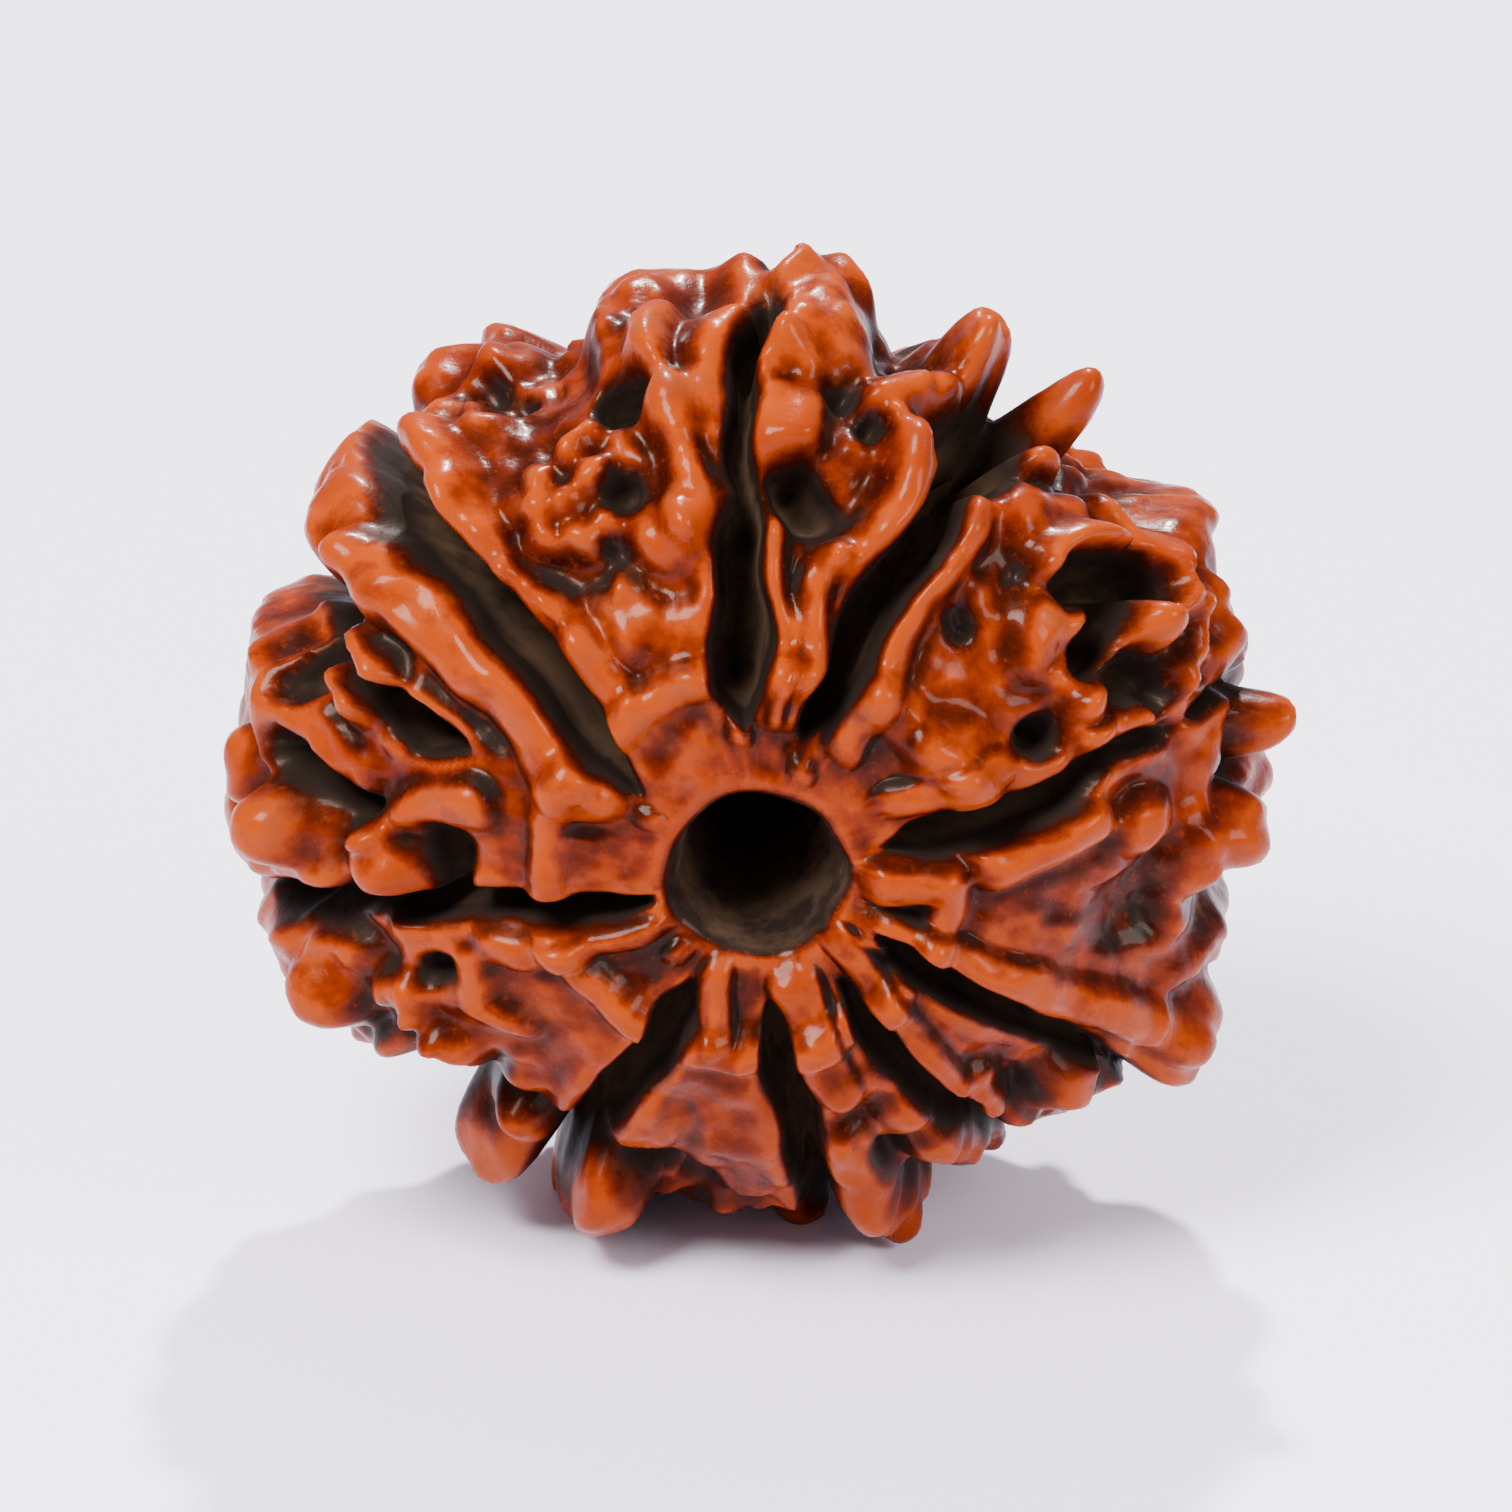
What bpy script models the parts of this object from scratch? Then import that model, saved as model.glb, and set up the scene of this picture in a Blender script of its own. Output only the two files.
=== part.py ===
"""Rudraksha bead: one grown seed stone, deeply furrowed, bored from pole to pole for a thread.

The bead stands on its rim. X runs to the right along its longest side, Y runs through the hole
from the front pole to the back pole, and Z is up. The origin is under the middle of the bead,
on the surface it stands on. The driving sizes below are in millimetres and degrees.

A place on the stone is given by two angles seen from the front pole: the azimuth turns
counter-clockwise from +X, and the polar angle grows from 0 at the front pole, over 90 at the
rim, to 180 at the back pole.
"""
import math

import bmesh
import bpy
import numpy as np

MM = 0.001

# The smooth form under the relief, a squashed ball.
RIM_RADIUS = 12.15
HALF_THICKNESS = 8.2
ROUNDNESS = 2.25
HEIGHT_RATIO = 0.96

# The thread hole, widest at its two mouths.
FRONT_MOUTH = 2.0
BACK_MOUTH = 1.75
BORE_RADIUS = 1.35
LIP_REACH = 0.45
COLLAR_INNER = 2.45
COLLAR_OUTER = 2.8

# The mesh, before and after it is thinned out.
AZIMUTH_STEPS = 432
SKIN_ROWS = 168
LIP_ROWS = 5
BORE_ROWS = 12
TRIANGLES = 10800
SOFTENING = 5

# The feet are cut flat this far below the middle of the smooth form.
FOOT_DEPTH = 11.72

CLEFT_DEPTH = 2.5
CLEFT_LIP = 0.14
MOAT_WIDTH = 0.22
MOAT_DEPTH = 0.35
TIP_START = 0.7
TIP_REACH = 1.2
SEED = 11

# Clefts run from pole to pole: azimuth, polar angle and width at each place.
CLEFTS = {
    "upper_left": [
        (140, 25, 0.2), (138.5, 31, 0.7), (136, 40, 0.9), (134.5, 50, 0.95), (135, 60, 0.9),
        (136.5, 74, 1.0), (137, 88, 0.95), (139, 110, 0.8), (137, 135, 0.8), (140, 157, 0.3)],
    "top": [
        (95, 26, 0.2), (94.5, 31, 0.95), (93, 40, 1.1), (92.5, 52, 1.05), (92.5, 57, 0.55),
        (92, 70, 0.42), (90, 79, 0.7), (88, 88, 0.4), (88, 100, 0.35), (90, 118, 0.8),
        (94, 136, 0.9), (92, 157, 0.3)],
    "upper_right": [
        (73, 24, 0.2), (71, 31, 0.8), (69, 38, 0.95), (66.5, 46, 0.95), (64, 55, 0.95), (61, 70, 0.95),
        (58.5, 80, 0.6), (57.5, 89, 0.35), (58, 104, 0.3), (60, 118, 0.8), (57, 136, 0.9), (60, 157, 0.3)],
    "right": [
        (11, 21, 0.2), (12, 26, 0.8), (12, 36, 0.95), (13, 45, 0.8), (16, 54, 0.4), (14, 68, 0.3),
        (13, 90, 0.25), (17, 112, 0.7), (15, 136, 0.9), (18, 157, 0.3)],
    "lower_right": [
        (334, 21, 0.2), (331, 26, 0.75), (328, 31, 0.95), (326, 38, 0.95), (325, 46, 0.75),
        (323, 60, 0.5), (320, 74, 0.3), (318, 90, 0.2), (318, 112, 0.8), (322, 136, 0.9),
        (320, 157, 0.3)],
    "low_right": [
        (303, 25, 0.2), (303, 30, 0.65), (302, 38, 0.75), (303, 50, 0.7), (304, 58, 0.5),
        (303, 80, 0.4), (300, 110, 0.7), (297, 136, 0.8), (299, 157, 0.3)],
    "bottom": [
        (275, 23, 0.2), (275.5, 29, 0.7), (277, 40, 0.8), (278, 52, 0.75), (278, 68, 0.65),
        (280, 85, 0.5), (271, 110, 0.7), (268, 136, 0.8), (270, 157, 0.3)],
    "low_left": [
        (243, 22, 0.2), (243, 27, 0.8), (242, 40, 0.95), (242.5, 54, 0.85), (243, 70, 0.55),
        (242.5, 85, 0.4), (240, 112, 0.7), (243, 136, 0.8), (241, 157, 0.3)],
    "left": [
        (191, 19, 0.2), (191, 24, 0.65), (191, 40, 0.75), (190.5, 50, 0.8), (190.5, 60, 0.7),
        (193, 74, 0.65), (195, 90, 0.5), (196, 112, 0.8), (192, 136, 0.9), (194, 157, 0.3)],
    "far_left": [
        (159, 47, 0.3), (159, 53, 1.1), (157, 62, 0.6), (154, 72, 1.1), (156, 90, 1.0),
        (161, 112, 0.8), (165, 136, 0.9), (163, 157, 0.3)],
}

# Ridges and bars: half width, height, then azimuth and polar angle at each place.
RIDGES = {
    "brow": (0.64, 0.6, [(145, 72), (143.5, 62), (143, 54), (144, 47), (148, 36), (151, 29)]),
    "top_left_bar": (0.4, 0.55, [(101, 85), (103, 75), (101, 68), (99.5, 60), (100, 53)]),
    "cheek_edge": (0.6, 0.45, [(130.5, 58), (131, 66), (130.5, 79)]),
    "wedge_edge": (0.4, 0.35, [(126, 45), (126, 37)]),
    "twin_bar_left": (0.32, 0.45, [(87, 52), (86.5, 27)]),
    "twin_bar_right": (0.36, 0.45, [(76.5, 50), (78.5, 44), (79.5, 36), (81, 27)]),
    "twin_bridge": (0.3, 0.3, [(92.5, 54), (87, 52)]),
    "top_knuckle": (0.75, 0.6, [(87, 64), (87, 73)]),
    "top_thumb": (1.0, 0.65, [(82, 78), (82, 98)]),
    "pit_wall": (0.45, 0.5, [(71, 67), (70, 60), (71, 56), (74, 50)]),
    "finger_root": (0.6, 0.6, [(74.5, 71), (69.5, 76), (65.5, 82)]),
    "pit_bar": (0.45, 0.45, [(61, 50), (59.5, 62)]),
    "cave_bar": (0.45, 0.55, [(47, 62), (40, 71)]),
    "outer_bar": (0.6, 0.45, [(41, 79), (34, 77), (31, 70), (29, 62)]),
    "outer_step": (0.5, 0.45, [(27, 74), (21, 69), (19, 62)]),
    "cave_rim": (0.45, 0.35, [(45, 60), (41, 55), (37, 51)]),
    "inner_bar": (0.42, 0.42, [(61, 45), (60, 39), (57, 27)]),
    "right_upper_bar": (0.42, 0.42, [(31, 25), (27, 30), (25, 38)]),
    "right_edge": (0.32, 0.35, [(20, 52), (20, 60)]),
    "right_lower_bar": (0.4, 0.55, [(358, 19), (358, 29), (1.5, 35), (4, 41), (6, 50)]),
    "long_bar": (0.5, 0.5, [(336, 22), (336, 30), (333, 40), (331, 50), (331, 59), (329.5, 68), (328, 73)]),
    "lower_wedge_edge": (0.38, 0.38, [(318, 17), (311.5, 29), (309, 37), (307.5, 47)]),
    "small_wedge": (0.5, 0.4, [(286, 21), (287, 40)]),
    "low_knuckle": (0.55, 0.7, [(285.5, 50), (285.5, 65)]),
    "low_left_edge": (0.36, 0.42, [(249, 18), (256, 27)]),
    "left_edge": (0.36, 0.36, [(205, 22), (203.5, 33), (200, 42)]),
    "left_hem": (0.36, 0.36, [(203, 46), (211.5, 48), (218, 45.5)]),
    "left_arch": (0.42, 0.5, [(167, 43), (171, 51), (178, 56)]),
    "finger_four": (0.9, 1.35, [(234.5, 64), (236, 73), (236.5, 82)]),
    "finger_five": (0.95, 1.0, [(249, 66), (250.5, 90)]),
}

# Knobs and low faces: azimuth, polar angle, radius and height.
KNOBS = [
    (128.5, 72, 2.0, 0.3), (119, 45, 1.3, 0.25), (110, 40, 1.2, 0.2), (105, 53, 0.9, 0.4),
    (43, 35, 1.6, 0.2), (35, 36, 1.1, 0.35), (29, 53, 0.8, 0.6), (24, 53, 0.8, 0.6), (29, 66, 0.8, 0.4),
    (22, 77, 1.3, 0.5), (340, 35, 2.2, 0.15), (325.5, 77, 1.8, 0.6), (146, 80, 1.7, 0.45),
    (2.5, 57, 0.9, 0.4), (357, 75, 1.2, 0.55), (316, 38, 1.5, 0.15), (310, 51, 0.7, 0.4),
    (317, 63, 1.0, 0.55), (307, 56, 0.8, 0.45), (297, 57, 0.8, 0.55), (295, 49, 0.8, 0.4),
    (290, 41, 0.8, 0.25), (286, 72, 1.0, 0.85), (255, 35, 1.8, 0.2), (248.5, 50, 1.2, 0.35),
    (201, 17, 0.5, 0.35), (214, 38, 2.0, 0.12), (206, 58, 0.8, 0.55), (212, 57, 0.6, 0.5),
    (206, 70, 1.1, 0.65), (218, 57, 0.9, 0.5), (228, 42, 1.2, 0.12), (176, 32, 2.4, 0.12),
    (183, 56, 1.1, 0.65), (182, 71, 1.1, 0.75), (179, 82, 1.0, 0.65), (156, 64.5, 1.3, 0.75),
    (119.5, 65, 0.5, 0.5), (115, 67, 0.5, 0.5), (123, 57, 0.5, 0.45), (117, 56, 0.5, 0.45),
    (112, 63, 0.5, 0.45), (112, 69, 0.45, 0.4), (121, 61, 0.45, 0.4), (116, 61, 0.45, 0.35),
    (112, 57, 0.5, 0.4), (126, 50, 0.45, 0.35), (114, 50, 0.5, 0.35), (98, 24, 0.4, 0.3),
    (70, 19, 0.4, 0.25), (148, 20, 0.4, 0.25), (225, 19, 0.4, 0.25), (52.3, 87, 1.15, 3.0),
    (53.5, 78, 1.0, 1.1), (63, 87, 1.35, 1.05), (150, 55, 1.7, 0.35), (203, 65, 1.4, 0.5),
    (7.5, 80, 0.95, 1.6), (275, 82, 0.9, 0.4),
]

# The feet that carry the bead: azimuth, polar angle, radius and height.
FEET = [(251, 92, 1.3, 0.4), (258, 106, 1.9, 2.0), (284, 107, 1.7, 1.5), (287, 78, 1.2, 0.6)]

# Pits: radius, depth, then azimuth and polar angle at each place.
PITS = {
    "eye": (0.85, 2.0, [(107, 72)]),
    "eye_corner": (0.5, 0.7, [(109, 60)]),
    "hook": (0.65, 0.9, [(121, 82), (124, 88)]),
    "twin_pit": (0.75, 1.5, [(85, 57.5), (82, 55)]),
    "upper_right_cave": (1.2, 3.0, [(61, 69), (58.5, 80)]),
    "upper_right_pore": (0.4, 0.6, [(75, 67)]),
    "cave": (0.75, 3.0, [(40.5, 63), (37, 67), (33, 72)]),
    "cave_arm": (0.5, 2.0, [(35, 64), (33, 60), (31, 56)]),
    "cave_pore": (0.4, 0.5, [(53, 48), (50.5, 47)]),
    "right_pit": (0.7, 1.4, [(26, 61), (20, 64)]),
    "right_pore": (0.55, 1.4, [(25, 46)]),
    "rough_hollow": (1.3, 0.35, [(354, 62), (346, 58)]),
    "low_right_pit": (0.55, 0.9, [(303.5, 54)]),
    "left_pore": (0.45, 0.9, [(203.5, 51.5)]),
    "low_left_pit": (0.75, 1.0, [(254.5, 58)]),
    "far_left_valley": (0.65, 1.6, [(151, 70), (158, 72), (165, 74)]),
    "far_left_slit": (0.45, 1.5, [(176, 59), (173, 73)]),
    "far_left_slot": (0.42, 1.5, [(176, 46.5), (183, 46.5), (190, 46.5)]),
}

# How far the outline stands over the smooth form, as seen from a little above: azimuth, height.
OUTLINE = [
    (0, -0.1), (3, -0.6), (10, -0.1), (22, -0.2), (28, 0.4), (31, 0.1), (35, -1.1), (40, -1.6),
    (50, -2.1), (57, -1.9), (62, -0.9), (66, -0.7), (72, -1.5), (76, -0.8), (80, -0.2), (86, -0.2), (92, 0.2),
    (105, 0.25), (108, 0.1), (111, -0.9), (115.5, -1.4), (118.5, -0.7), (122, 0.1), (131, 0.3),
    (136, -0.3), (141, 0.45), (149, 0.45), (153, -1.2), (160, -1.0), (165, 0.45), (180, 0.5),
    (190.5, 0.5), (194.5, -0.3), (198.5, 0.8), (205, 0.8), (211, 0.5), (217, 0), (221, -0.9),
    (226, -2.0), (230, -1.6), (240, -1.3), (243, -1.6), (248, 0.0), (255, 0.0), (260, -0.4), (270, 0),
    (275, 0.4), (281, 0), (286, 0.2), (293, -0.5), (299, 0.1), (304, -0.4), (309, 0), (313, -0.3),
    (316, 0.1), (320, -0.5), (323, 0.5), (328, 0.7), (334, 0.35), (340, 0.4), (347, -1.0), (352, 0),
    (358, 0.1), (360, -0.1),
]
OUTLINE_SWING = 10.5
OUTLINE_FULL = 12.0
OUTLINE_FADE = 34.0


def smooth_step(low, high, value):
    """Rises softly from 0 at low to 1 at high."""
    part = np.clip((value - low) / (high - low), 0.0, 1.0)
    return part * part * (3.0 - 2.0 * part)


def dome(gap, radius, rise):
    """A bump that is 1 at its middle and 0 from the radius outwards, steeper at its side if it is tall."""
    fall = np.clip(1.0 - (gap / radius) ** 2, 0.0, 1.0)
    return fall ** min(1.4, max(0.55, 1.4 - 1.9 * rise / radius))


def moat(gap, radius):
    """A narrow groove round the foot of a bump of this radius, shallow round a small one."""
    beside = (gap - radius - MOAT_WIDTH) / MOAT_WIDTH
    return min(1.0, radius / 0.9) ** 2 * np.exp(-beside * beside)


def hollow(gap, radius):
    """A dip that is 1 at its middle and runs out softly to 0 at the radius."""
    return 1.0 - smooth_step(0.25, 1.0, gap / radius)


def form_radius(polar):
    """Distance from the bead's middle to the smooth form, at a polar angle in radians."""
    across = np.abs(np.sin(polar)) / RIM_RADIUS
    along = np.abs(np.cos(polar)) / HALF_THICKNESS
    return (across ** ROUNDNESS + along ** ROUNDNESS) ** (-1.0 / ROUNDNESS)


def place(azimuth, polar):
    """The point of the smooth form at these angles in degrees, in millimetres from its middle."""
    turn = np.radians(azimuth)
    lean = np.radians(polar)
    radius = form_radius(lean)
    reach = radius * np.sin(lean)
    return np.stack([reach * np.cos(turn), -radius * np.cos(lean), reach * np.sin(turn)], axis=-1)


def skin_profile():
    """Reach from the axis and place along it, from the front collar over the rim to the back."""
    start = math.atan2(COLLAR_INNER, HALF_THICKNESS)
    lean = np.linspace(start, math.pi - start, SKIN_ROWS)
    radius = form_radius(lean)
    return np.stack([radius * np.sin(lean), -radius * np.cos(lean)], axis=-1)


def lip_profile(edge, mouth):
    """A quarter of an ellipse from the collar's edge down into the mouth of the hole."""
    turn = np.linspace(0.0, math.pi / 2, LIP_ROWS + 2)[1:-1]
    inward = np.sign(edge[1]) * -1.0
    reach = edge[0] - (edge[0] - mouth) * np.sin(turn)
    along = edge[1] + inward * LIP_REACH * (1.0 - np.cos(turn))
    return np.stack([reach, along], axis=-1)


def bore_profile(front, back):
    """The wall of the hole from the back mouth to the front mouth, narrowest in the middle."""
    along = np.linspace(back[1], front[1], BORE_ROWS)
    part = np.linspace(1.0, -1.0, BORE_ROWS)
    mouth = np.where(part > 0, BACK_MOUTH, FRONT_MOUTH)
    reach = BORE_RADIUS + (mouth - BORE_RADIUS) * np.abs(part) ** 2.5
    return np.stack([reach, along], axis=-1)


def closed_profile():
    """The whole section of the bead on one side of its axis, as a closed loop of points."""
    skin = skin_profile()
    back_lip = lip_profile(skin[-1], BACK_MOUTH)
    front_lip = lip_profile(skin[0], FRONT_MOUTH)[::-1]
    back = np.array([BACK_MOUTH, skin[-1][1] - LIP_REACH])
    front = np.array([FRONT_MOUTH, skin[0][1] + LIP_REACH])
    return np.concatenate([skin, back_lip, bore_profile(front, back), front_lip])


def profile_normals(profile):
    """The outward direction at each point of the closed loop."""
    ahead = np.roll(profile, -1, axis=0) - np.roll(profile, 1, axis=0)
    outward = np.stack([ahead[:, 1], -ahead[:, 0]], axis=-1)
    return outward / np.linalg.norm(outward, axis=-1, keepdims=True)


def turned(profile, azimuth):
    """A loop of (reach, along) pairs turned about the Y axis, as one row of points per azimuth."""
    turn = azimuth[:, None]
    reach = profile[None, :, 0]
    along = np.broadcast_to(profile[None, :, 1], (len(azimuth), len(profile)))
    return np.stack([reach * np.cos(turn), along, reach * np.sin(turn)], axis=-1)


def blunted(height):
    """Rounds off the tips that stand high over the smooth form."""
    above = np.maximum(height - TIP_START, 0.0)
    return np.minimum(height, TIP_START) + TIP_REACH * np.tanh(above / TIP_REACH)


def ripple(spots, size, seed, waves=14):
    """A soft random swell of about the given size, mostly between -1 and 1, from seeded waves."""
    draw = np.random.default_rng(seed)
    way = draw.normal(size=(waves, 3))
    way /= np.linalg.norm(way, axis=1, keepdims=True)
    pace = 2.0 * math.pi / (size * draw.uniform(0.75, 1.35, waves))
    start = draw.uniform(0.0, 2.0 * math.pi, waves)
    swell = np.zeros(len(spots))
    for direction, speed, phase in zip(way, pace, start):
        swell += np.sin(spots @ direction * speed + phase)
    return swell / math.sqrt(waves / 2.0) * 0.6


def line_places(points, longest=5.0):
    """Points (azimuth, polar, ...) with more put between them, none over this many degrees apart."""
    rows = [points[0]]
    for before, after in zip(points[:-1], points[1:]):
        span = max(abs(after[0] - before[0]), abs(after[1] - before[1]))
        count = max(1, math.ceil(span / longest))
        for step in range(1, count + 1):
            rows.append([b + (a - b) * step / count for b, a in zip(before, after)])
    return np.array(rows, dtype=float)


def nearest_on_line(spots, line, values):
    """Distance from each spot to a line, and the line's own value at the nearest place."""
    best = np.linalg.norm(spots - line[0], axis=1)
    carried = np.full(len(spots), float(values[0]))
    for start, end, low, high in zip(line[:-1], line[1:], values[:-1], values[1:]):
        leg = end - start
        part = np.clip((spots - start) @ leg / (leg @ leg), 0.0, 1.0)
        gap = np.linalg.norm(spots - start - part[:, None] * leg, axis=1)
        closer = gap < best
        best = np.where(closer, gap, best)
        carried = np.where(closer, low + part * (high - low), carried)
    return best, carried


def outline_height(azimuth, polar):
    """The height read off the outline, full along it and fading to either side."""
    turns, heights = zip(*OUTLINE)
    height = np.interp(azimuth % 360.0, turns, heights)
    crest = 90.0 + OUTLINE_SWING * np.sin(np.radians(azimuth))
    return height * (1.0 - smooth_step(OUTLINE_FULL, OUTLINE_FADE, np.abs(polar - crest)))


def pebbles(spots, spacing, seed):
    """Knobs packed side by side: 0 in the seams between them, up to 1 on top of the tallest."""
    draw = np.random.default_rng(seed)
    count = int(1500.0 / spacing ** 2)
    lean = np.degrees(np.arccos(draw.uniform(-1.0, 1.0, count)))
    middles = place(draw.uniform(0.0, 360.0, count), lean)
    tall = draw.uniform(0.25, 1.0, count)
    height = np.zeros(len(spots))
    for first in range(0, len(spots), 20000):
        some = spots[first:first + 20000]
        gaps = np.linalg.norm(some[:, None, :] - middles[None, :, :], axis=2)
        near = np.argpartition(gaps, 1, axis=1)[:, :2]
        close = np.take_along_axis(gaps, near, axis=1)
        rise = smooth_step(0.0, 0.55 * spacing, close[:, 1] - close[:, 0])
        height[first:first + 20000] = rise * tall[near[:, 0]]
    return height


def belt_weight(polar):
    """1 on the rough belt round the rim, low on the smooth wedges near the two poles."""
    front = smooth_step(40.0, 60.0, polar)
    back = smooth_step(30.0, 48.0, 180.0 - polar)
    return np.minimum(front, back)


def line_gap(spots, points):
    """Distance from each spot to a line of (azimuth, polar angle) points on the smooth form."""
    line = line_places(points)
    gap, _ = nearest_on_line(spots, place(line[:, 0], line[:, 1]), np.zeros(len(line)))
    return gap


def grown_relief(spots, azimuth, polar):
    """The height of everything that swells out of the smooth form, and the pits in it."""
    belt = belt_weight(polar)
    ditch = MOAT_DEPTH * (0.25 + 0.75 * belt)
    unseen = smooth_step(100.0, 120.0, polar)
    height = outline_height(azimuth, polar)
    height += (0.35 + 0.45 * unseen) * belt * (pebbles(spots, 2.5, SEED) - 0.45) * 1.6
    height += (0.22 + 0.1 * unseen) * belt * (pebbles(spots, 1.3, SEED + 1) - 0.4)
    height += 0.22 * (0.35 + belt) * ripple(spots, 3.4, SEED + 2)
    for half_width, rise, points in RIDGES.values():
        gap = line_gap(spots, points)
        width = 1.35 * half_width
        height += rise * (1.2 * dome(gap, width, rise) - ditch * moat(gap, width))
    for turn, lean, radius, rise in KNOBS + FEET:
        gap = np.linalg.norm(spots - place(turn, lean), axis=1)
        height += rise * (1.1 * dome(gap, radius, rise) - ditch * moat(gap, radius))
    for radius, depth, points in PITS.values():
        height -= depth * hollow(line_gap(spots, points), 1.2 * radius)
    return blunted(height)


def with_clefts(height, spots, polar):
    """Cuts the clefts into the relief, each with a raised lip on both sides near the poles."""
    inner = 1.0 - 0.75 * smooth_step(50.0, 75.0, 90.0 - np.abs(90.0 - polar))
    for points in CLEFTS.values():
        line = line_places(points)
        gap, width = nearest_on_line(spots, place(line[:, 0], line[:, 1]), line[:, 2])
        fullness = np.clip(width / 0.9, 0.0, 1.0)
        beside = (gap - 0.5 * width - 0.38) / 0.36
        height += CLEFT_LIP * fullness * inner * np.exp(-beside * beside)
        cut = 1.0 - smooth_step(0.30, 0.58, gap / width)
        height += cut * (np.minimum(height, 0.0) * 0.3 - CLEFT_DEPTH * fullness - height)
    return height


def relief(spots, azimuth, polar):
    """Height over the smooth form at every spot, none inside the hole and on its collar."""
    drift = np.stack([ripple(spots, 3.0, SEED + 20 + axis) for axis in range(3)], axis=-1)
    wandering = spots + 0.16 * drift
    height = with_clefts(grown_relief(wandering, azimuth, polar), wandering, polar)
    height += 0.05 * ripple(spots, 0.9, SEED + 5)
    reach = np.hypot(spots[:, 0], spots[:, 2])
    skin = smooth_step(FRONT_MOUTH, COLLAR_OUTER, reach)
    collar = 0.10 * ripple(spots, 1.8, SEED + 6)
    return height * skin + collar * (1.0 - skin)


def grid_spots():
    """The points of the relief-covered form, with one row of points per azimuth."""
    profile = closed_profile()
    azimuth = np.linspace(0.0, 2.0 * math.pi, AZIMUTH_STEPS, endpoint=False)
    smooth = turned(profile, azimuth).reshape(-1, 3)
    outward = turned(profile_normals(profile), azimuth).reshape(-1, 3)
    turn = np.degrees(np.arctan2(smooth[:, 2], smooth[:, 0]))
    lean = np.degrees(np.arctan2(np.hypot(smooth[:, 0], smooth[:, 2]), -smooth[:, 1]))
    spots = smooth + outward * relief(smooth, turn, lean)[:, None]
    spots[:, 2] = spots[:, 2] * HEIGHT_RATIO
    return spots, len(profile)


def grid_faces(rows):
    """Four-sided faces that join each azimuth's row of points to the next one's."""
    faces = []
    for turn in range(AZIMUTH_STEPS):
        here = turn * rows
        there = (turn + 1) % AZIMUTH_STEPS * rows
        for row in range(rows):
            after = (row + 1) % rows
            faces.append((here + row, here + after, there + after, there + row))
    return faces


def furrowed_stone():
    """The full stone as a fine mesh object in metres, its middle at the origin."""
    spots, rows = grid_spots()
    mesh = bpy.data.meshes.new("bead")
    mesh.from_pydata((spots * MM).tolist(), [], grid_faces(rows))
    bead = bpy.data.objects.new("bead", mesh)
    bpy.context.collection.objects.link(bead)
    soften = bead.modifiers.new("worn_edges", "SMOOTH")
    soften.factor = 0.5
    soften.iterations = SOFTENING
    return bead


def thin_out(bead):
    """Leaves about the wanted number of triangles, most of them where the relief is sharp."""
    fine = 2 * len(bead.data.polygons)
    fewer = bead.modifiers.new("fewer_triangles", "DECIMATE")
    fewer.ratio = TRIANGLES / fine
    bpy.context.view_layer.update()
    graph = bpy.context.evaluated_depsgraph_get()
    thinned = bpy.data.meshes.new_from_object(bead.evaluated_get(graph))
    bead.modifiers.clear()
    bead.data = thinned
    thinned.name = "bead"


def flatten_feet(bead):
    """Cuts the lowest knobs level, which gives the bead small flat spots to rest on."""
    shape = bmesh.new()
    shape.from_mesh(bead.data)
    floor = (0.0, 0.0, -FOOT_DEPTH * MM)
    everything = shape.verts[:] + shape.edges[:] + shape.faces[:]
    cut = bmesh.ops.bisect_plane(
        shape, geom=everything, dist=1e-6, plane_co=floor, plane_no=(0.0, 0.0, -1.0), clear_outer=True)
    rim = [item for item in cut["geom_cut"] if isinstance(item, bmesh.types.BMEdge)]
    bmesh.ops.contextual_create(shape, geom=rim)
    bmesh.ops.holes_fill(shape, edges=[edge for edge in shape.edges if edge.is_boundary], sides=0)
    bmesh.ops.triangulate(shape, faces=shape.faces[:])
    bmesh.ops.recalc_face_normals(shape, faces=shape.faces[:])
    shape.to_mesh(bead.data)
    shape.free()


def stand_on_origin(bead):
    """Moves the shape so that the origin is under its middle, on the surface it stands on."""
    corners = np.array([vertex.co[:] for vertex in bead.data.vertices])
    low = corners.min(axis=0)
    high = corners.max(axis=0)
    middle = (low + high) / 2
    for vertex in bead.data.vertices:
        vertex.co.x -= middle[0]
        vertex.co.y -= middle[1]
        vertex.co.z -= low[2]


def oiled_stone():
    """Orange-brown, oiled and polished by handling."""
    material = bpy.data.materials.new("oiled_stone")
    material.use_nodes = True
    surface = material.node_tree.nodes["Principled BSDF"]
    surface.inputs["Base Color"].default_value = (0.34, 0.085, 0.018, 1.0)
    surface.inputs["Roughness"].default_value = 0.32
    surface.inputs["Metallic"].default_value = 0.0
    return material


def main():
    for item in list(bpy.data.objects):
        bpy.data.objects.remove(item)
    bead = furrowed_stone()
    thin_out(bead)
    flatten_feet(bead)
    stand_on_origin(bead)
    bead.data.materials.clear()
    bead.data.materials.append(oiled_stone())
    bead.data.shade_smooth()
    bead.data.set_sharp_from_angle(angle=math.radians(55.0))


main()
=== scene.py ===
"""Rudraksha bead: the finished look of one furrowed seed stone on a pale studio floor.

The stone is grown from a ring whose section runs over the rim and back through the thread hole.
Its clefts, bars, knobs and pits are raised from a smooth squashed ball by a formula. Lengths in
the formula are in millimetres and angles in degrees. A place on the stone is given by two angles
seen from the front pole: the azimuth turns counter-clockwise from +X, and the polar angle grows
from 0 at the front pole, over 90 at the rim, to 180 at the back pole.
"""

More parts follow.
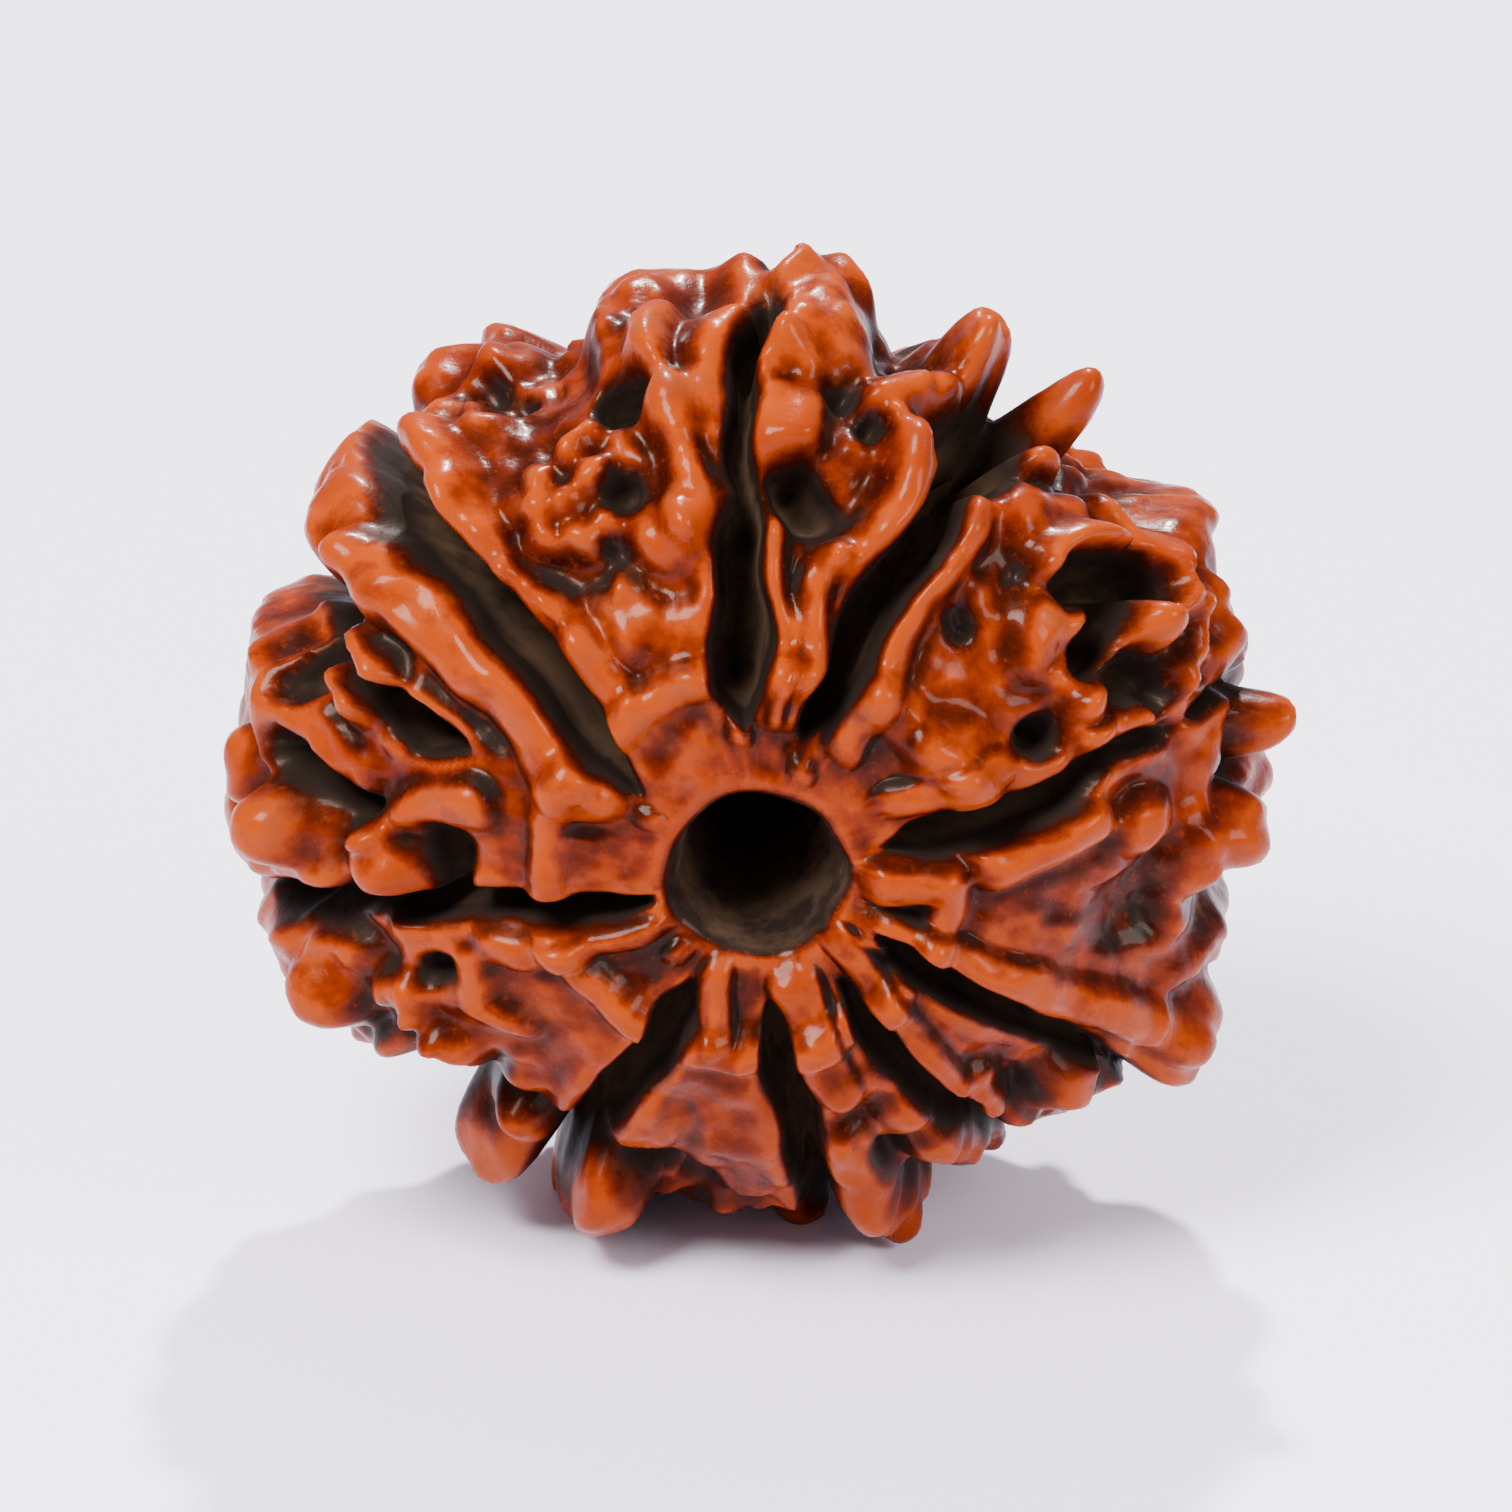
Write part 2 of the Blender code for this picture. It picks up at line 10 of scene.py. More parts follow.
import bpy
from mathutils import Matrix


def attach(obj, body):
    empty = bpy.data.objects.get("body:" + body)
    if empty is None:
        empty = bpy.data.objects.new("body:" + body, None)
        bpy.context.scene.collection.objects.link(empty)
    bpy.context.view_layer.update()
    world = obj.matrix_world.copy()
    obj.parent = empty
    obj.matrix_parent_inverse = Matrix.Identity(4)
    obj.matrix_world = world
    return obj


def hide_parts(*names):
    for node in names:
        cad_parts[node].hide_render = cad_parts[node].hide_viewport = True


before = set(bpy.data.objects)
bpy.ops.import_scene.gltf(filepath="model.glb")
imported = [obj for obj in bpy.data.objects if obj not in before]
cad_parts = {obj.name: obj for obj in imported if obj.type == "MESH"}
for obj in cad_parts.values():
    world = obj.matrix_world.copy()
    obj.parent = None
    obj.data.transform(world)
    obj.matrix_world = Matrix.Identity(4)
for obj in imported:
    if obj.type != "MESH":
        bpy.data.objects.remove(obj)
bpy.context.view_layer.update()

import math

import bpy
import numpy as np
from bpy.props import FloatProperty, FloatVectorProperty, IntProperty, PointerProperty
from mathutils import Vector
from mathutils.bvhtree import BVHTree

bl_info = {
    "name": "Rudraksha bead",
    "version": (1, 0, 0),
    "blender": (4, 5, 0),
    "location": "3D View > Sidebar > Bead",
    "description": "Grows a furrowed seed-stone bead and its studio floor, lamps and camera",
    "category": "Add Mesh",
}

MM = 0.001

# The collar round each mouth of the thread hole, which the relief leaves smooth.
COLLAR_INNER = 2.45
COLLAR_OUTER = 2.8
LIP_REACH = 0.45
LIP_ROWS = 6
BORE_ROWS = 14

# The groove round the foot of each bump, and where high tips start to be rounded off.
MOAT_WIDTH = 0.22
MOAT_DEPTH = 0.35
FULL_MOAT_RADIUS = 0.9
TIP_START = 0.7
TIP_REACH = 1.2

# Knobs packed side by side all over the rough belt: spacing, height there and more height unseen.
LARGE_PEBBLES = (2.5, 0.35, 0.45)
SMALL_PEBBLES = (1.3, 0.22, 0.1)
PEBBLES_PER_AREA = 1500.0

# Random swells: height and size of each.
SWELL = (0.22, 3.4)
WANDER = (0.16, 3.0)
WRINKLES = (0.05, 0.9)
COLLAR_SWELL = (0.10, 1.8)
PORE_SIZE = 0.5
PORE_WAVES = 40
SEED = 11

# Clefts: full width, and where the raised lip beside them stands and how wide it is.
FULL_CLEFT_WIDTH = 0.9
LIP_OFFSET = 0.38
LIP_WIDTH = 0.36

# Clefts run from pole to pole: azimuth, polar angle and width at each place.
CLEFTS = {
    "upper_left": [
        (140, 25, 0.2), (138.5, 31, 0.7), (136, 40, 0.9), (134.5, 50, 0.95), (135, 60, 0.9),
        (136.5, 74, 1.0), (137, 88, 0.95), (139, 110, 0.8), (137, 135, 0.8), (140, 157, 0.3)],
    "top": [
        (95, 26, 0.2), (94.5, 31, 0.95), (93, 40, 1.1), (92.5, 52, 1.05), (92.5, 57, 0.55),
        (92, 70, 0.42), (90, 79, 0.7), (88, 88, 0.4), (88, 100, 0.35), (90, 118, 0.8),
        (94, 136, 0.9), (92, 157, 0.3)],
    "upper_right": [
        (73, 24, 0.2), (71, 31, 0.8), (69, 38, 0.95), (66.5, 46, 0.95), (64, 55, 0.95), (61, 70, 0.95),
        (58.5, 80, 0.6), (57.5, 89, 0.35), (58, 104, 0.3), (60, 118, 0.8), (57, 136, 0.9), (60, 157, 0.3)],
    "right": [
        (11, 21, 0.2), (12, 26, 0.8), (12, 36, 0.95), (13, 45, 0.8), (16, 54, 0.4), (14, 68, 0.3),
        (13, 90, 0.25), (17, 112, 0.7), (15, 136, 0.9), (18, 157, 0.3)],
    "lower_right": [
        (334, 21, 0.2), (331, 26, 0.75), (328, 31, 0.95), (326, 38, 0.95), (325, 46, 0.75),
        (323, 60, 0.5), (320, 74, 0.3), (318, 90, 0.2), (318, 112, 0.8), (322, 136, 0.9),
        (320, 157, 0.3)],
    "low_right": [
        (303, 25, 0.2), (303, 30, 0.65), (302, 38, 0.75), (303, 50, 0.7), (304, 58, 0.5),
        (303, 80, 0.4), (300, 110, 0.7), (297, 136, 0.8), (299, 157, 0.3)],
    "bottom": [
        (275, 23, 0.2), (275.5, 29, 0.7), (277, 40, 0.8), (278, 52, 0.75), (278, 68, 0.65),
        (280, 85, 0.5), (271, 110, 0.7), (268, 136, 0.8), (270, 157, 0.3)],
    "low_left": [
        (243, 22, 0.2), (243, 27, 0.8), (242, 40, 0.95), (242.5, 54, 0.85), (243, 70, 0.55),
        (242.5, 85, 0.4), (240, 112, 0.7), (243, 136, 0.8), (241, 157, 0.3)],
    "left": [
        (191, 19, 0.2), (191, 24, 0.65), (191, 40, 0.75), (190.5, 50, 0.8), (190.5, 60, 0.7),
        (193, 74, 0.65), (195, 90, 0.5), (196, 112, 0.8), (192, 136, 0.9), (194, 157, 0.3)],
    "far_left": [
        (159, 47, 0.3), (159, 53, 1.1), (157, 62, 0.6), (154, 72, 1.1), (156, 90, 1.0),
        (161, 112, 0.8), (165, 136, 0.9), (163, 157, 0.3)],
}

# Ridges and bars: half width, height, then azimuth and polar angle at each place.
RIDGES = {
    "brow": (0.64, 0.6, [(145, 72), (143.5, 62), (143, 54), (144, 47), (148, 36), (151, 29)]),
    "top_left_bar": (0.4, 0.55, [(101, 85), (103, 75), (101, 68), (99.5, 60), (100, 53)]),
    "cheek_edge": (0.6, 0.45, [(130.5, 58), (131, 66), (130.5, 79)]),
    "wedge_edge": (0.4, 0.35, [(126, 45), (126, 37)]),
    "twin_bar_left": (0.32, 0.45, [(87, 52), (86.5, 27)]),
    "twin_bar_right": (0.36, 0.45, [(76.5, 50), (78.5, 44), (79.5, 36), (81, 27)]),
    "twin_bridge": (0.3, 0.3, [(92.5, 54), (87, 52)]),
    "top_knuckle": (0.75, 0.6, [(87, 64), (87, 73)]),
    "top_thumb": (1.0, 0.65, [(82, 78), (82, 98)]),
    "pit_wall": (0.45, 0.5, [(71, 67), (70, 60), (71, 56), (74, 50)]),
    "finger_root": (0.6, 0.6, [(74.5, 71), (69.5, 76), (65.5, 82)]),
    "pit_bar": (0.45, 0.45, [(61, 50), (59.5, 62)]),
    "cave_bar": (0.45, 0.55, [(47, 62), (40, 71)]),
    "outer_bar": (0.6, 0.45, [(41, 79), (34, 77), (31, 70), (29, 62)]),
    "outer_step": (0.5, 0.45, [(27, 74), (21, 69), (19, 62)]),
    "cave_rim": (0.45, 0.35, [(45, 60), (41, 55), (37, 51)]),
    "inner_bar": (0.42, 0.42, [(61, 45), (60, 39), (57, 27)]),
    "right_upper_bar": (0.42, 0.42, [(31, 25), (27, 30), (25, 38)]),
    "right_edge": (0.32, 0.35, [(20, 52), (20, 60)]),
    "right_lower_bar": (0.4, 0.55, [(358, 19), (358, 29), (1.5, 35), (4, 41), (6, 50)]),
    "long_bar": (0.5, 0.5, [(336, 22), (336, 30), (333, 40), (331, 50), (331, 59), (329.5, 68), (328, 73)]),
    "lower_wedge_edge": (0.38, 0.38, [(318, 17), (311.5, 29), (309, 37), (307.5, 47)]),
    "small_wedge": (0.5, 0.4, [(286, 21), (287, 40)]),
    "low_knuckle": (0.55, 0.7, [(285.5, 50), (285.5, 65)]),
    "low_left_edge": (0.36, 0.42, [(249, 18), (256, 27)]),
    "left_edge": (0.36, 0.36, [(205, 22), (203.5, 33), (200, 42)]),
    "left_hem": (0.36, 0.36, [(203, 46), (211.5, 48), (218, 45.5)]),
    "left_arch": (0.42, 0.5, [(167, 43), (171, 51), (178, 56)]),
    "finger_four": (0.9, 1.35, [(234.5, 64), (236, 73), (236.5, 82)]),
    "finger_five": (0.95, 1.0, [(249, 66), (250.5, 90)]),
}

# Knobs and low faces: azimuth, polar angle, radius and height.
KNOBS = [
    (128.5, 72, 2.0, 0.3), (119, 45, 1.3, 0.25), (110, 40, 1.2, 0.2), (105, 53, 0.9, 0.4),
    (43, 35, 1.6, 0.2), (35, 36, 1.1, 0.35), (29, 53, 0.8, 0.6), (24, 53, 0.8, 0.6), (29, 66, 0.8, 0.4),
    (22, 77, 1.3, 0.5), (340, 35, 2.2, 0.15), (325.5, 77, 1.8, 0.6), (146, 80, 1.7, 0.45),
    (2.5, 57, 0.9, 0.4), (357, 75, 1.2, 0.55), (316, 38, 1.5, 0.15), (310, 51, 0.7, 0.4),
    (317, 63, 1.0, 0.55), (307, 56, 0.8, 0.45), (297, 57, 0.8, 0.55), (295, 49, 0.8, 0.4),
    (290, 41, 0.8, 0.25), (286, 72, 1.0, 0.85), (255, 35, 1.8, 0.2), (248.5, 50, 1.2, 0.35),
    (201, 17, 0.5, 0.35), (214, 38, 2.0, 0.12), (206, 58, 0.8, 0.55), (212, 57, 0.6, 0.5),
    (206, 70, 1.1, 0.65), (218, 57, 0.9, 0.5), (228, 42, 1.2, 0.12), (176, 32, 2.4, 0.12),
    (183, 56, 1.1, 0.65), (182, 71, 1.1, 0.75), (179, 82, 1.0, 0.65), (156, 64.5, 1.3, 0.75),
    (119.5, 65, 0.5, 0.5), (115, 67, 0.5, 0.5), (123, 57, 0.5, 0.45), (117, 56, 0.5, 0.45),
    (112, 63, 0.5, 0.45), (112, 69, 0.45, 0.4), (121, 61, 0.45, 0.4), (116, 61, 0.45, 0.35),
    (112, 57, 0.5, 0.4), (126, 50, 0.45, 0.35), (114, 50, 0.5, 0.35), (98, 24, 0.4, 0.3),
    (70, 19, 0.4, 0.25), (148, 20, 0.4, 0.25), (225, 19, 0.4, 0.25), (52.3, 87, 1.15, 3.0),
    (53.5, 78, 1.0, 1.1), (63, 87, 1.35, 1.05), (150, 55, 1.7, 0.35), (203, 65, 1.4, 0.5),
    (7.5, 80, 0.95, 1.6), (275, 82, 0.9, 0.4),
]

# The feet that carry the bead: azimuth, polar angle, radius and height.
FEET = [(251, 92, 1.3, 0.4), (258, 106, 1.9, 2.0), (284, 107, 1.7, 1.5), (287, 78, 1.2, 0.6)]

# Pits: radius, depth, then azimuth and polar angle at each place.
PITS = {
    "eye": (0.85, 2.0, [(107, 72)]),
    "eye_corner": (0.5, 0.7, [(109, 60)]),
    "hook": (0.65, 0.9, [(121, 82), (124, 88)]),
    "twin_pit": (0.75, 1.5, [(85, 57.5), (82, 55)]),
    "upper_right_cave": (1.2, 3.0, [(61, 69), (58.5, 80)]),
    "upper_right_pore": (0.4, 0.6, [(75, 67)]),
    "cave": (0.75, 3.0, [(40.5, 63), (37, 67), (33, 72)]),
    "cave_arm": (0.5, 2.0, [(35, 64), (33, 60), (31, 56)]),
    "cave_pore": (0.4, 0.5, [(53, 48), (50.5, 47)]),
    "right_pit": (0.7, 1.4, [(26, 61), (20, 64)]),
    "right_pore": (0.55, 1.4, [(25, 46)]),
    "rough_hollow": (1.3, 0.35, [(354, 62), (346, 58)]),
    "low_right_pit": (0.55, 0.9, [(303.5, 54)]),
    "left_pore": (0.45, 0.9, [(203.5, 51.5)]),
    "low_left_pit": (0.75, 1.0, [(254.5, 58)]),
    "far_left_valley": (0.65, 1.6, [(151, 70), (158, 72), (165, 74)]),
    "far_left_slit": (0.45, 1.5, [(176, 59), (173, 73)]),
    "far_left_slot": (0.42, 1.5, [(176, 46.5), (183, 46.5), (190, 46.5)]),
}

# How far the outline stands over the smooth form, as seen from a little above: azimuth, height.
OUTLINE = [
    (0, -0.1), (3, -0.6), (10, -0.1), (22, -0.2), (28, 0.4), (31, 0.1), (35, -1.1), (40, -1.6),
    (50, -2.1), (57, -1.9), (62, -0.9), (66, -0.7), (72, -1.5), (76, -0.8), (80, -0.2), (86, -0.2), (92, 0.2),
    (105, 0.25), (108, 0.1), (111, -0.9), (115.5, -1.4), (118.5, -0.7), (122, 0.1), (131, 0.3),
    (136, -0.3), (141, 0.45), (149, 0.45), (153, -1.2), (160, -1.0), (165, 0.45), (180, 0.5),
    (190.5, 0.5), (194.5, -0.3), (198.5, 0.8), (205, 0.8), (211, 0.5), (217, 0), (221, -0.9),
    (226, -2.0), (230, -1.6), (240, -1.3), (243, -1.6), (248, 0.0), (255, 0.0), (260, -0.4), (270, 0),
    (275, 0.4), (281, 0), (286, 0.2), (293, -0.5), (299, 0.1), (304, -0.4), (309, 0), (313, -0.3),
    (316, 0.1), (320, -0.5), (323, 0.5), (328, 0.7), (334, 0.35), (340, 0.4), (347, -1.0), (352, 0),
    (358, 0.1), (360, -0.1),
]
OUTLINE_SWING = 10.5
OUTLINE_FULL = 12.0
OUTLINE_FADE = 34.0


def smooth_step(low, high, value):
    """Rises softly from 0 at low to 1 at high."""
    part = np.clip((value - low) / (high - low), 0.0, 1.0)
    return part * part * (3.0 - 2.0 * part)


def dome(gap, radius, rise):
    """A bump that is 1 at its middle and 0 from the radius outwards, steeper at its side if it is tall."""
    fall = np.clip(1.0 - (gap / radius) ** 2, 0.0, 1.0)
    return fall ** min(1.4, max(0.55, 1.4 - 1.9 * rise / radius))


def moat(gap, radius):
    """A narrow groove round the foot of a bump of this radius, shallow round a small one."""
    beside = (gap - radius - MOAT_WIDTH) / MOAT_WIDTH
    return min(1.0, radius / FULL_MOAT_RADIUS) ** 2 * np.exp(-beside * beside)


def hollow(gap, radius):
    """A dip that is 1 at its middle and runs out softly to 0 at the radius."""
    return 1.0 - smooth_step(0.25, 1.0, gap / radius)


def blunted(height):
    """Rounds off the tips that stand high over the smooth form."""
    above = np.maximum(height - TIP_START, 0.0)
    return np.minimum(height, TIP_START) + TIP_REACH * np.tanh(above / TIP_REACH)


def ripple(spots, size, seed, waves=14):
    """A soft random swell of about the given size, mostly between -1 and 1, from seeded waves."""
    draw = np.random.default_rng(seed)
    way = draw.normal(size=(waves, 3))
    way /= np.linalg.norm(way, axis=1, keepdims=True)
    pace = 2.0 * math.pi / (size * draw.uniform(0.75, 1.35, waves))
    start = draw.uniform(0.0, 2.0 * math.pi, waves)
    swell = np.zeros(len(spots))
    for direction, speed, phase in zip(way, pace, start):
        swell += np.sin(spots @ direction * speed + phase)
    return swell / math.sqrt(waves / 2.0) * 0.6


def line_places(points, longest=5.0):
    """Points (azimuth, polar, ...) with more put between them, none over this many degrees apart."""
    rows = [points[0]]
    for before, after in zip(points[:-1], points[1:]):
        span = max(abs(after[0] - before[0]), abs(after[1] - before[1]))
        count = max(1, math.ceil(span / longest))
        for step in range(1, count + 1):
            rows.append([b + (a - b) * step / count for b, a in zip(before, after)])
    return np.array(rows, dtype=float)


def nearest_on_line(spots, line, values):
    """Distance from each spot to a line, and the line's own value at the nearest place."""
    best = np.linalg.norm(spots - line[0], axis=1)
    carried = np.full(len(spots), float(values[0]))
    for start, end, low, high in zip(line[:-1], line[1:], values[:-1], values[1:]):
        leg = end - start
        part = np.clip((spots - start) @ leg / (leg @ leg), 0.0, 1.0)
        gap = np.linalg.norm(spots - start - part[:, None] * leg, axis=1)
        closer = gap < best
        best = np.where(closer, gap, best)
        carried = np.where(closer, low + part * (high - low), carried)
    return best, carried


def outline_height(azimuth, polar):
    """The height read off the outline, full along it and fading to either side."""
    turns, heights = zip(*OUTLINE)
    height = np.interp(azimuth % 360.0, turns, heights)
    crest = 90.0 + OUTLINE_SWING * np.sin(np.radians(azimuth))
    return height * (1.0 - smooth_step(OUTLINE_FULL, OUTLINE_FADE, np.abs(polar - crest)))


def belt_weight(polar):
    """1 on the rough belt round the rim, low on the smooth wedges near the two poles."""
    front = smooth_step(40.0, 60.0, polar)
    back = smooth_step(30.0, 48.0, 180.0 - polar)
    return np.minimum(front, back)


class StoneForm:
    """The stone's smooth form, its hole and its relief, in millimetres, from the panel's sizes."""

    def __init__(self, sizes):
        self.rim = sizes.rim_radius / MM
        self.half_thickness = sizes.half_thickness / MM
        self.roundness = sizes.roundness
        self.front_mouth = sizes.front_mouth / MM
        self.back_mouth = sizes.back_mouth / MM
        self.bore = sizes.bore_radius / MM
        self.cleft_depth = sizes.cleft_depth / MM
        self.cleft_lip = sizes.cleft_lip / MM
        self.pore_depth = sizes.pore_depth / MM

    def radius(self, polar):
        """Distance from the bead's middle to the smooth form, at a polar angle in radians."""
        across = np.abs(np.sin(polar)) / self.rim
        along = np.abs(np.cos(polar)) / self.half_thickness
        return (across ** self.roundness + along ** self.roundness) ** (-1.0 / self.roundness)

    def place(self, azimuth, polar):
        """The point of the smooth form at these angles in degrees."""
        turn = np.radians(azimuth)
        lean = np.radians(polar)
        radius = self.radius(lean)
        reach = radius * np.sin(lean)
        return np.stack([reach * np.cos(turn), -radius * np.cos(lean), reach * np.sin(turn)], axis=-1)

    def skin_profile(self, rows):
        """Reach from the axis and place along it, from the front collar over the rim to the back."""
        start = math.atan2(COLLAR_INNER, self.half_thickness)
        lean = np.linspace(start, math.pi - start, rows)
        radius = self.radius(lean)
        return np.stack([radius * np.sin(lean), -radius * np.cos(lean)], axis=-1)

    def lip_profile(self, edge, mouth):
        """A quarter of an ellipse from the collar's edge down into the mouth of the hole."""
        turn = np.linspace(0.0, math.pi / 2, LIP_ROWS + 2)[1:-1]
        inward = np.sign(edge[1]) * -1.0
        reach = edge[0] - (edge[0] - mouth) * np.sin(turn)
        along = edge[1] + inward * LIP_REACH * (1.0 - np.cos(turn))
        return np.stack([reach, along], axis=-1)

    def bore_profile(self, front, back):
        """The wall of the hole from the back mouth to the front mouth, narrowest in the middle."""
        along = np.linspace(back[1], front[1], BORE_ROWS)
        part = np.linspace(1.0, -1.0, BORE_ROWS)
        mouth = np.where(part > 0, self.back_mouth, self.front_mouth)
        reach = self.bore + (mouth - self.bore) * np.abs(part) ** 2.5
        return np.stack([reach, along], axis=-1)

    def closed_profile(self, rows):
        """The whole section on one side of the axis, as a closed loop of this many points."""
        skin = self.skin_profile(rows - 2 * LIP_ROWS - BORE_ROWS)
        back_lip = self.lip_profile(skin[-1], self.back_mouth)
        front_lip = self.lip_profile(skin[0], self.front_mouth)[::-1]
        back = np.array([self.back_mouth, skin[-1][1] - LIP_REACH])
        front = np.array([self.front_mouth, skin[0][1] + LIP_REACH])
        return np.concatenate([skin, back_lip, self.bore_profile(front, back), front_lip])

    def pebbles(self, spots, spacing, seed):
        """Knobs packed side by side: 0 in the seams between them, up to 1 on the tallest."""
        draw = np.random.default_rng(seed)
        count = int(PEBBLES_PER_AREA / spacing ** 2)
        lean = np.degrees(np.arccos(draw.uniform(-1.0, 1.0, count)))
        middles = self.place(draw.uniform(0.0, 360.0, count), lean)
        tall = draw.uniform(0.25, 1.0, count)
        height = np.zeros(len(spots))
        for first in range(0, len(spots), 20000):
            some = spots[first:first + 20000]
            gaps = np.linalg.norm(some[:, None, :] - middles[None, :, :], axis=2)
            near = np.argpartition(gaps, 1, axis=1)[:, :2]
            close = np.take_along_axis(gaps, near, axis=1)
            rise = smooth_step(0.0, 0.55 * spacing, close[:, 1] - close[:, 0])
            height[first:first + 20000] = rise * tall[near[:, 0]]
        return height

    def line_gap(self, spots, points):
        """Distance from each spot to a line of (azimuth, polar angle) points on the form."""
        line = line_places(points)
        gap, _ = nearest_on_line(spots, self.place(line[:, 0], line[:, 1]), np.zeros(len(line)))
        return gap

    def grown_relief(self, spots, azimuth, polar):
        """The height of everything that swells out of the smooth form, and the pits in it."""
        belt = belt_weight(polar)
        ditch = MOAT_DEPTH * (0.25 + 0.75 * belt)
        unseen = smooth_step(100.0, 120.0, polar)
        height = outline_height(azimuth, polar)
        spacing, tall, more = LARGE_PEBBLES
        height += (tall + more * unseen) * belt * (self.pebbles(spots, spacing, SEED) - 0.45) * 1.6
        spacing, tall, more = SMALL_PEBBLES
        height += (tall + more * unseen) * belt * (self.pebbles(spots, spacing, SEED + 1) - 0.4)
        tall, size = SWELL
        height += tall * (0.35 + belt) * ripple(spots, size, SEED + 2)
        for half_width, rise, points in RIDGES.values():
            gap = self.line_gap(spots, points)
            width = 1.35 * half_width
            height += rise * (1.2 * dome(gap, width, rise) - ditch * moat(gap, width))
        for turn, lean, radius, rise in KNOBS + FEET:
            gap = np.linalg.norm(spots - self.place(turn, lean), axis=1)
            height += rise * (1.1 * dome(gap, radius, rise) - ditch * moat(gap, radius))
        for radius, depth, points in PITS.values():
            height -= depth * hollow(self.line_gap(spots, points), 1.2 * radius)
        return blunted(height)

    def with_clefts(self, height, spots, polar):
        """Cuts the clefts into the relief, each with a raised lip on both sides near the poles."""
        inner = 1.0 - 0.75 * smooth_step(50.0, 75.0, 90.0 - np.abs(90.0 - polar))
        for points in CLEFTS.values():
            line = line_places(points)
            gap, width = nearest_on_line(spots, self.place(line[:, 0], line[:, 1]), line[:, 2])
            fullness = np.clip(width / FULL_CLEFT_WIDTH, 0.0, 1.0)
            beside = (gap - 0.5 * width - LIP_OFFSET) / LIP_WIDTH
            height += self.cleft_lip * fullness * inner * np.exp(-beside * beside)
            cut = 1.0 - smooth_step(0.30, 0.58, gap / width)
            height += cut * (np.minimum(height, 0.0) * 0.3 - self.cleft_depth * fullness - height)
        return height

    def relief(self, spots, azimuth, polar):
        """Height over the smooth form at every spot, none in the hole and little on its collar."""
        sway, size = WANDER
        drift = np.stack([ripple(spots, size, SEED + 20 + axis) for axis in range(3)], axis=-1)
        wandering = spots + sway * drift
        height = self.with_clefts(self.grown_relief(wandering, azimuth, polar), wandering, polar)
        tall, size = WRINKLES
        height += tall * ripple(spots, size, SEED + 5)
        pores = ripple(spots, PORE_SIZE, SEED + 7, PORE_WAVES)
        height += self.pore_depth * (0.4 + 0.6 * belt_weight(polar)) * pores
        reach = np.hypot(spots[:, 0], spots[:, 2])
        skin = smooth_step(self.front_mouth, COLLAR_OUTER, reach)
        tall, size = COLLAR_SWELL
        collar = tall * ripple(spots, size, SEED + 6)
        return height * skin + collar * (1.0 - skin)


def profile_normals(profile):
    """The outward direction at each point of the closed loop."""
    ahead = np.roll(profile, -1, axis=0) - np.roll(profile, 1, axis=0)
    outward = np.stack([ahead[:, 1], -ahead[:, 0]], axis=-1)
    return outward / np.linalg.norm(outward, axis=-1, keepdims=True)


# The ring that the stone grows from, as shares of the rim's radius.
RING_RADIUS = 0.62
RING_THICKNESS = 0.36

# How near the cut of the feet a point counts as on it, in metres.
CUT_SLACK = 1e-6


def ring_angles(ring, middle_radius):
    """For each point of a ring round Z: its turn, and its angle in the ring's section, from outside."""
    spots = points_of(ring)
    reach = np.hypot(spots[:, 0], spots[:, 1])
    return np.arctan2(spots[:, 1], spots[:, 0]), np.arctan2(spots[:, 2], reach - middle_radius)


def along_loop(loop, share):
    """The rows of a closed loop read at these shares of the way round it."""
    steps = np.arange(len(loop) + 1)
    closed = np.concatenate([loop, loop[:1]])
    at = (share % 1.0) * len(loop)
    return np.stack([np.interp(at, steps, column) for column in closed.T], axis=-1)


def axis_reach(spots):
    """Distance of each spot from the hole's axis."""
    return np.hypot(spots[:, 0], spots[:, 2])


def turned(pairs, azimuth):
    """A point for each (reach, along) pair, turned about the Y axis by its own azimuth."""
    return np.stack([pairs[:, 0] * np.cos(azimuth), pairs[:, 1], pairs[:, 0] * np.sin(azimuth)], axis=-1)


def grown_spots(form, azimuth, section, rows, height_ratio):
    """The ring's points on the relief-covered form in metres, and their rise over it in millimetres, which
    drives the painted shade and is set low in the hole to paint it dark.
    """
    profile = form.closed_profile(rows)
    rim_share = 0.5 * (rows - 2 * LIP_ROWS - BORE_ROWS - 1) / rows
    share = rim_share - section / (2.0 * math.pi)
    smooth = turned(along_loop(profile, share), azimuth)
    outward = turned(along_loop(profile_normals(profile), share), azimuth)
    turn = np.degrees(np.arctan2(smooth[:, 2], smooth[:, 0]))
    lean = np.degrees(np.arctan2(np.hypot(smooth[:, 0], smooth[:, 2]), -smooth[:, 1]))
    height = form.relief(smooth, turn, lean)
    spots = smooth + outward * height[:, None]
    spots[:, 2] *= height_ratio
    # The rise for the painted shade leaves out the outline's dips and is capped at 0.6 mm; in the thread hole
    # it is set 3 mm lower, which paints the hole dark.
    rise = np.minimum(height - np.minimum(outline_height(turn, lean), 0.0), 0.6)
    in_hole = 1.0 - smooth_step(form.front_mouth - 0.15, form.front_mouth + 0.35, axis_reach(smooth))
    return spots * MM, rise - 3.0 * in_hole


def points_of(piece):
    """The mesh's points as an array of rows."""
    flat = np.empty(3 * len(piece.data.vertices))
    piece.data.vertices.foreach_get("co", flat)
    return flat.reshape(-1, 3)


def put_points(piece, spots):
    """Moves the mesh's points to these rows."""
    piece.data.vertices.foreach_set("co", spots.astype(np.float32).ravel())
    piece.data.update()


def add_attribute(piece, name, values):
    """Stores one number for each point, which the finish reads."""
    layer = piece.data.attributes.new(name, "FLOAT", "POINT")
    layer.data.foreach_set("value", values.astype(np.float32))


# Rays sent out from each point to see how open it lies, for the painted shade in the finish: their reach and
# start in millimetres, and how often the result is evened out.
RAYS = 20
RAY_REACH = 4.0
RAY_START = 0.03
OPENNESS_BLUR = 3
EDGE_BLUR = 24


